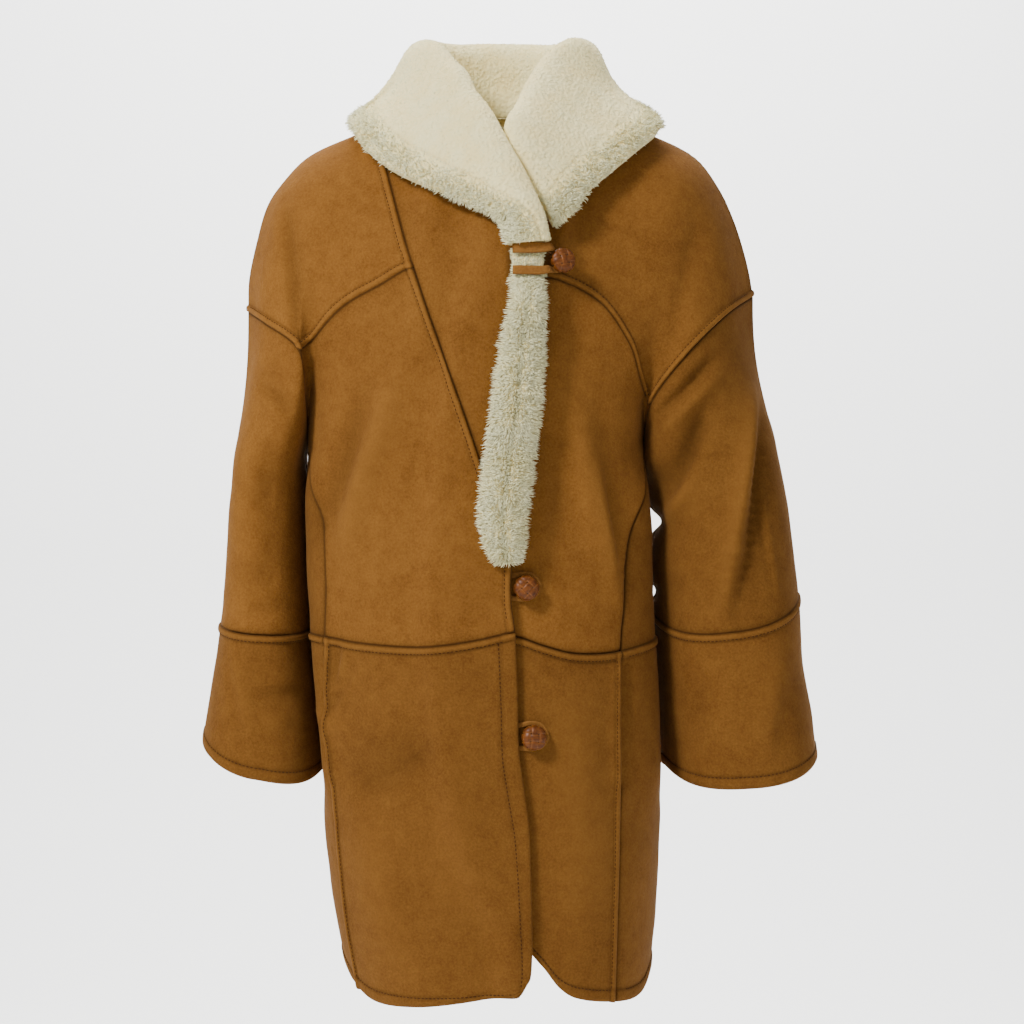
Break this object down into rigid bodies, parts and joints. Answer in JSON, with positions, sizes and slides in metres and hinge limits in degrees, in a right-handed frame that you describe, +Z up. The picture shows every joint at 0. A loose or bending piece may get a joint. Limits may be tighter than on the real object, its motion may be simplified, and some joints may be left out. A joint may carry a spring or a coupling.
{
  "type": "shearling coat",
  "caption": "Knee-length suede shearling coat in worn form, with a cream fleece shawl collar, dropped yoke shoulders, wide cuffs and a looped button front.",
  "frame": {"origin": "middle between the wearer's shoulders, where the coat bears on its wearer", "axes": "+X to the wearer's left, front along -Y, +Z up"},
  "size_m": [0.6506, 0.3276, 1.0165],
  "materials": {
    "suede": "napped suede, matt",
    "fleece": "clipped sheep's wool, matt",
    "knot_leather": "woven strips, glossy",
    "loop_suede": "suede strip with cut edges"
  },
  "bodies": {
    "root": {"R_front_yoke": "suede", "R_front_upper": "suede", "R_front_lower": "suede", "R_front_center": "suede", "L_front_yoke": "suede", "L_front_upper": "suede", "L_front_lower": "suede", "back_yoke": "suede", "back_upper": "suede", "back_lower": "suede", "R_side_upper": "suede", "R_side_lower": "suede", "L_side_upper": "suede", "L_side_lower": "suede", "R_sleeve_front": "suede", "R_sleeve_back": "suede", "R_cuff": "suede", "L_sleeve_front": "suede", "L_sleeve_back": "suede", "L_cuff": "suede", "collar": "fleece", "fur_front_strip": "fleece", "button_1": "knot_leather", "button_2": "knot_leather", "button_3": "knot_leather", "loop_1": "loop_suede", "loop_2": "loop_suede", "loop_3": "loop_suede"}
  },
  "joints": []
}
